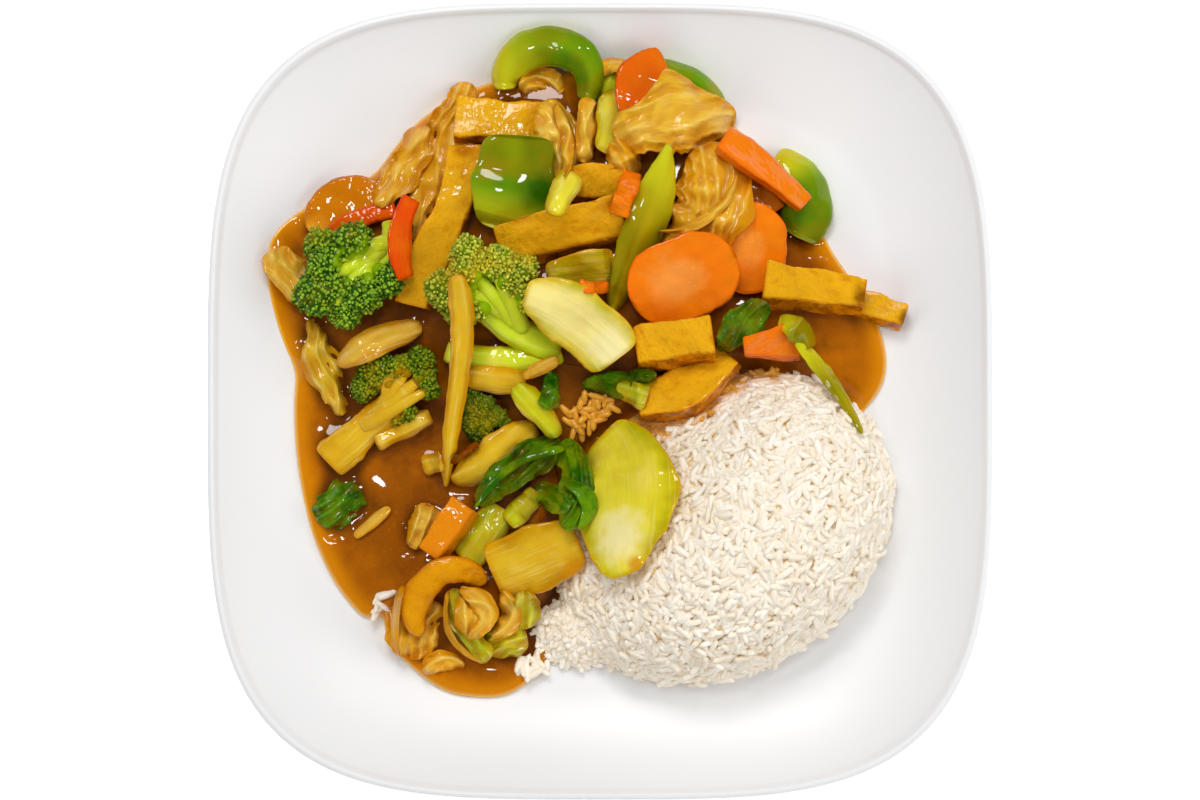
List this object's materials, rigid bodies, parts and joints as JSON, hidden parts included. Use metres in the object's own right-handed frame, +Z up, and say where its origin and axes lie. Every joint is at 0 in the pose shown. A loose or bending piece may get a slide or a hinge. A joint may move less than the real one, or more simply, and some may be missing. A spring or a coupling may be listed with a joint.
{
  "type": "plated curry with rice",
  "caption": "Vegetable and tofu curry in a glossy sauce beside a dome of white rice, served on a white rounded-square plate.",
  "frame": {"origin": "bottom centre of the bounding box, under the middle of the plate, on the surface it stands on", "axes": "+X to the right of the plate as served, +Y to its back, +Z up"},
  "size_m": [0.264, 0.268, 0.0489],
  "materials": {
    "porcelain": "glossy glazed white",
    "rice": "moist cooked rice",
    "sauce": "wet glossy curry sauce",
    "carrot": "cooked, sauce-coated",
    "tofu": "fried and sauce-coated",
    "pepper": "wet waxy skin",
    "broccoli": "cooked buds and stem",
    "cabbage": "soft translucent leaf, sauce-coated",
    "stem": "cooked pale green stem",
    "leaf": "cooked dark green leaf"
  },
  "bodies": {
    "root": {"bokchoy_base": "stem", "bokchoy_leaf": "leaf", "bokchoy_lobe": "stem", "bokchoy_stem": "stem", "broccoli_centre": "broccoli", "broccoli_left": "broccoli", "broccoli_lower": "broccoli", "broccoli_small": "broccoli", "cabbage_bit": "cabbage", "cabbage_core": "cabbage", "cabbage_crumple": "cabbage", "cabbage_end": "cabbage", "cabbage_fork": "cabbage", "cabbage_strip": "cabbage", "carrot_diamond": "carrot", "carrot_fan": "carrot", "carrot_flat": "carrot", "carrot_low": "carrot", "carrot_stick": "carrot", "carrot_top": "carrot", "carrot_wedge": "carrot", "celery_lens": "pepper", "celery_plank": "stem", "dark_leaf": "leaf", "golden_band": "tofu", "golden_round": "carrot", "green_stalk": "pepper", "long_strip": "stem", "napa_crumple": "cabbage", "napa_finger": "cabbage", "napa_frill": "cabbage", "napa_large": "cabbage", "napa_left": "cabbage", "napa_stem": "cabbage", "onion_petal": "cabbage", "onion_wedge": "cabbage", "pepper_back": "pepper", "pepper_chunk": "pepper", "pepper_curl": "pepper", "pepper_right": "pepper", "pepper_thread": "pepper", "plate": "porcelain", "red_piece": "carrot", "red_sliver": "carrot", "rice": "rice", "ring_bit": "stem", "sauce": "sauce", "scallion_bit": "leaf", "slab_back": "tofu", "tan_slice": "tofu", "tofu_back": "tofu", "tofu_bar": "tofu", "tofu_centre": "tofu", "tofu_cube": "tofu", "tofu_long": "tofu", "tofu_stick": "tofu", "tofu_stub": "tofu", "yellow_plank": "stem", "yellow_slice": "tofu", "yellow_strip": "stem"}
  },
  "joints": []
}
